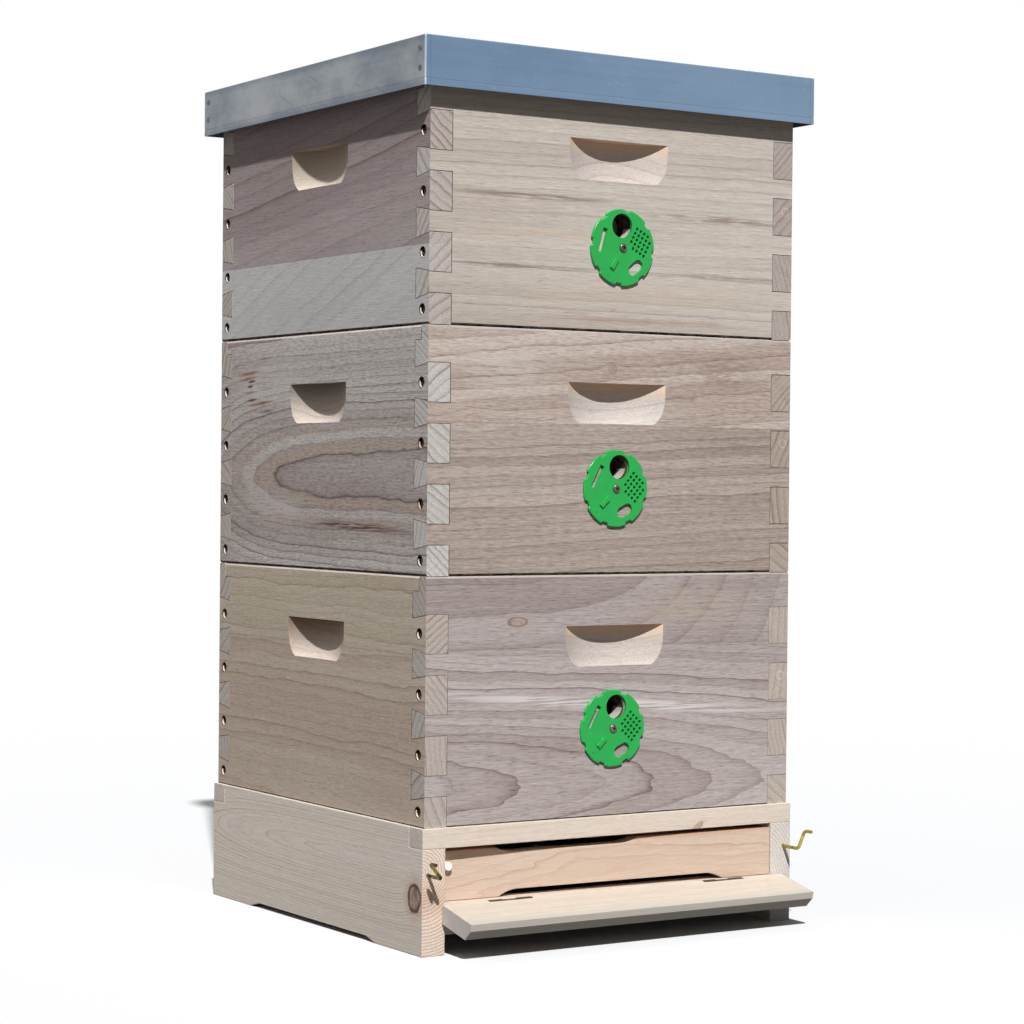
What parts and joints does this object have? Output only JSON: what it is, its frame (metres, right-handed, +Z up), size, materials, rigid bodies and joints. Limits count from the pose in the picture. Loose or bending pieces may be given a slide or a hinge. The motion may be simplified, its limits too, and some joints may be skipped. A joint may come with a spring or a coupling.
{
  "type": "beehive",
  "caption": "Square wooden hive of stacked finger-jointed boxes with handholds and turning entrance discs, on a floor with a hinged landing board, under a steel roof.",
  "frame": {"origin": "on the ground, under the middle of the boxes", "axes": "+X to the right seen from the front, +Y to the back, +Z up; the entrance faces -Y"},
  "size_m": [0.479, 0.5192, 0.8878],
  "materials": {
    "front_wood": "planed pale softwood, lightly weathered",
    "side_wood": "planed pale softwood, lightly weathered",
    "floor_wood": "planed spruce",
    "reducer_wood": "planed spruce",
    "landing_wood": "planed spruce",
    "frame_wood": "planed softwood",
    "cover_wood": "planed softwood",
    "wax": "beeswax foundation",
    "mesh_steel": "woven wire",
    "hinge_steel": "zinc-plated",
    "zinc_wire": "yellow zinc-plated wire",
    "peg_plastic": "white moulded",
    "tray_plastic": "white sheet",
    "roof_steel": "hot-dip galvanised sheet",
    "nail_steel": "galvanised",
    "screw_brass": "yellow zinc-plated",
    "disc_plastic": "glossy moulded",
    "disc_screw_steel": "plain steel"
  },
  "bodies": {
    "bottom_board": {"left_rail": "floor_wood", "right_rail": "floor_wood", "front_rail": "floor_wood", "rear_rail": "floor_wood", "rear_board": "floor_wood", "front_sill": "floor_wood", "floor_mesh": "mesh_steel", "mesh_battens": "floor_wood", "hinge_fixed_leaves": "hinge_steel", "hinge_pins": "hinge_steel"},
    "landing_board": {"landing_board": "landing_wood", "hinge_moving_leaves": "hinge_steel"},
    "left_hook": {"left_hook": "zinc_wire"},
    "right_hook": {"right_hook": "zinc_wire"},
    "entrance_reducer": {"entrance_reducer": "reducer_wood", "reducer_peg": "peg_plastic"},
    "inspection_tray": {"inspection_tray": "tray_plastic"},
    "lower_box": {"lower_front_panel": "front_wood", "lower_back_panel": "front_wood", "lower_left_panel": "side_wood", "lower_right_panel": "side_wood", "lower_corner_screws": "screw_brass", "lower_disc_screw": "disc_screw_steel"},
    "lower_disc": {"lower_entrance_disc": "disc_plastic"},
    "lower_frames": {"lower_top_bars": "frame_wood", "lower_end_bars": "frame_wood", "lower_bottom_bars": "frame_wood", "lower_foundation": "wax"},
    "middle_box": {"middle_front_panel": "front_wood", "middle_back_panel": "front_wood", "middle_left_panel": "side_wood", "middle_right_panel": "side_wood", "middle_corner_screws": "screw_brass", "middle_disc_screw": "disc_screw_steel"},
    "middle_disc": {"middle_entrance_disc": "disc_plastic"},
    "middle_frames": {"middle_top_bars": "frame_wood", "middle_end_bars": "frame_wood", "middle_bottom_bars": "frame_wood", "middle_foundation": "wax"},
    "upper_box": {"upper_front_panel": "front_wood", "upper_back_panel": "front_wood", "upper_left_panel": "side_wood", "upper_right_panel": "side_wood", "upper_corner_screws": "screw_brass", "upper_disc_screw": "disc_screw_steel"},
    "upper_disc": {"upper_entrance_disc": "disc_plastic"},
    "upper_frames": {"upper_top_bars": "frame_wood", "upper_end_bars": "frame_wood", "upper_bottom_bars": "frame_wood", "upper_foundation": "wax"},
    "inner_cover": {"cover_rim": "cover_wood", "cover_panel": "cover_wood"},
    "roof": {"roof_sheet": "roof_steel", "roof_deck": "cover_wood", "roof_rails": "cover_wood", "roof_nails": "nail_steel"}
  },
  "joints": [
    {"name": "landing_fold", "type": "hinge", "parent": "bottom_board", "child": "landing_board", "pos_m": [0.005, -0.2285, 0.0481], "axis": [-1, 0, 0], "range_deg": [0, 102.5]},
    {"name": "left_hook_turn", "type": "hinge", "parent": "bottom_board", "child": "left_hook", "pos_m": [-0.2195, -0.226, 0.079], "axis": [0, 1, 0], "range_deg": [0, 130]},
    {"name": "right_hook_turn", "type": "hinge", "parent": "bottom_board", "child": "right_hook", "pos_m": [0.217, -0.226, 0.079], "axis": [0, -1, 0], "range_deg": [0, 115]},
    {"name": "reducer_slide", "type": "slide", "parent": "bottom_board", "child": "entrance_reducer", "axis": [0, 1, 0], "range_m": [-0.06, 0]},
    {"name": "tray_slide", "type": "slide", "parent": "bottom_board", "child": "inspection_tray", "axis": [0, 1, 0], "range_m": [0, 0.4]},
    {"name": "lower_box_lift", "type": "slide", "parent": "bottom_board", "child": "lower_box", "axis": [0, 0, 1], "range_m": [0, 0.12]},
    {"name": "lower_disc_turn", "type": "hinge", "parent": "lower_box", "child": "lower_disc", "pos_m": [-0.0035, -0.2225, 0.2125], "axis": [0, -1, 0], "continuous": true},
    {"name": "lower_frames_lift", "type": "slide", "parent": "lower_box", "child": "lower_frames", "axis": [0, 0, 1], "range_m": [0, 0.25]},
    {"name": "middle_box_lift", "type": "slide", "parent": "lower_frames", "child": "middle_box", "axis": [0, 0, 1], "range_m": [0, 0.12]},
    {"name": "middle_disc_turn", "type": "hinge", "parent": "middle_box", "child": "middle_disc", "pos_m": [-0.0025, -0.2225, 0.4545], "axis": [0, -1, 0], "continuous": true},
    {"name": "middle_frames_lift", "type": "slide", "parent": "middle_box", "child": "middle_frames", "axis": [0, 0, 1], "range_m": [0, 0.25]},
    {"name": "upper_box_lift", "type": "slide", "parent": "middle_frames", "child": "upper_box", "axis": [0, 0, 1], "range_m": [0, 0.12]},
    {"name": "upper_disc_turn", "type": "hinge", "parent": "upper_box", "child": "upper_disc", "pos_m": [0.003, -0.2225, 0.6975], "axis": [0, -1, 0], "continuous": true},
    {"name": "upper_frames_lift", "type": "slide", "parent": "upper_box", "child": "upper_frames", "axis": [0, 0, 1], "range_m": [0, 0.25]},
    {"name": "cover_lift", "type": "slide", "parent": "upper_frames", "child": "inner_cover", "axis": [0, 0, 1], "range_m": [0, 0.06]},
    {"name": "roof_lift", "type": "slide", "parent": "inner_cover", "child": "roof", "axis": [0, 0, 1], "range_m": [0, 0.12]}
  ]
}
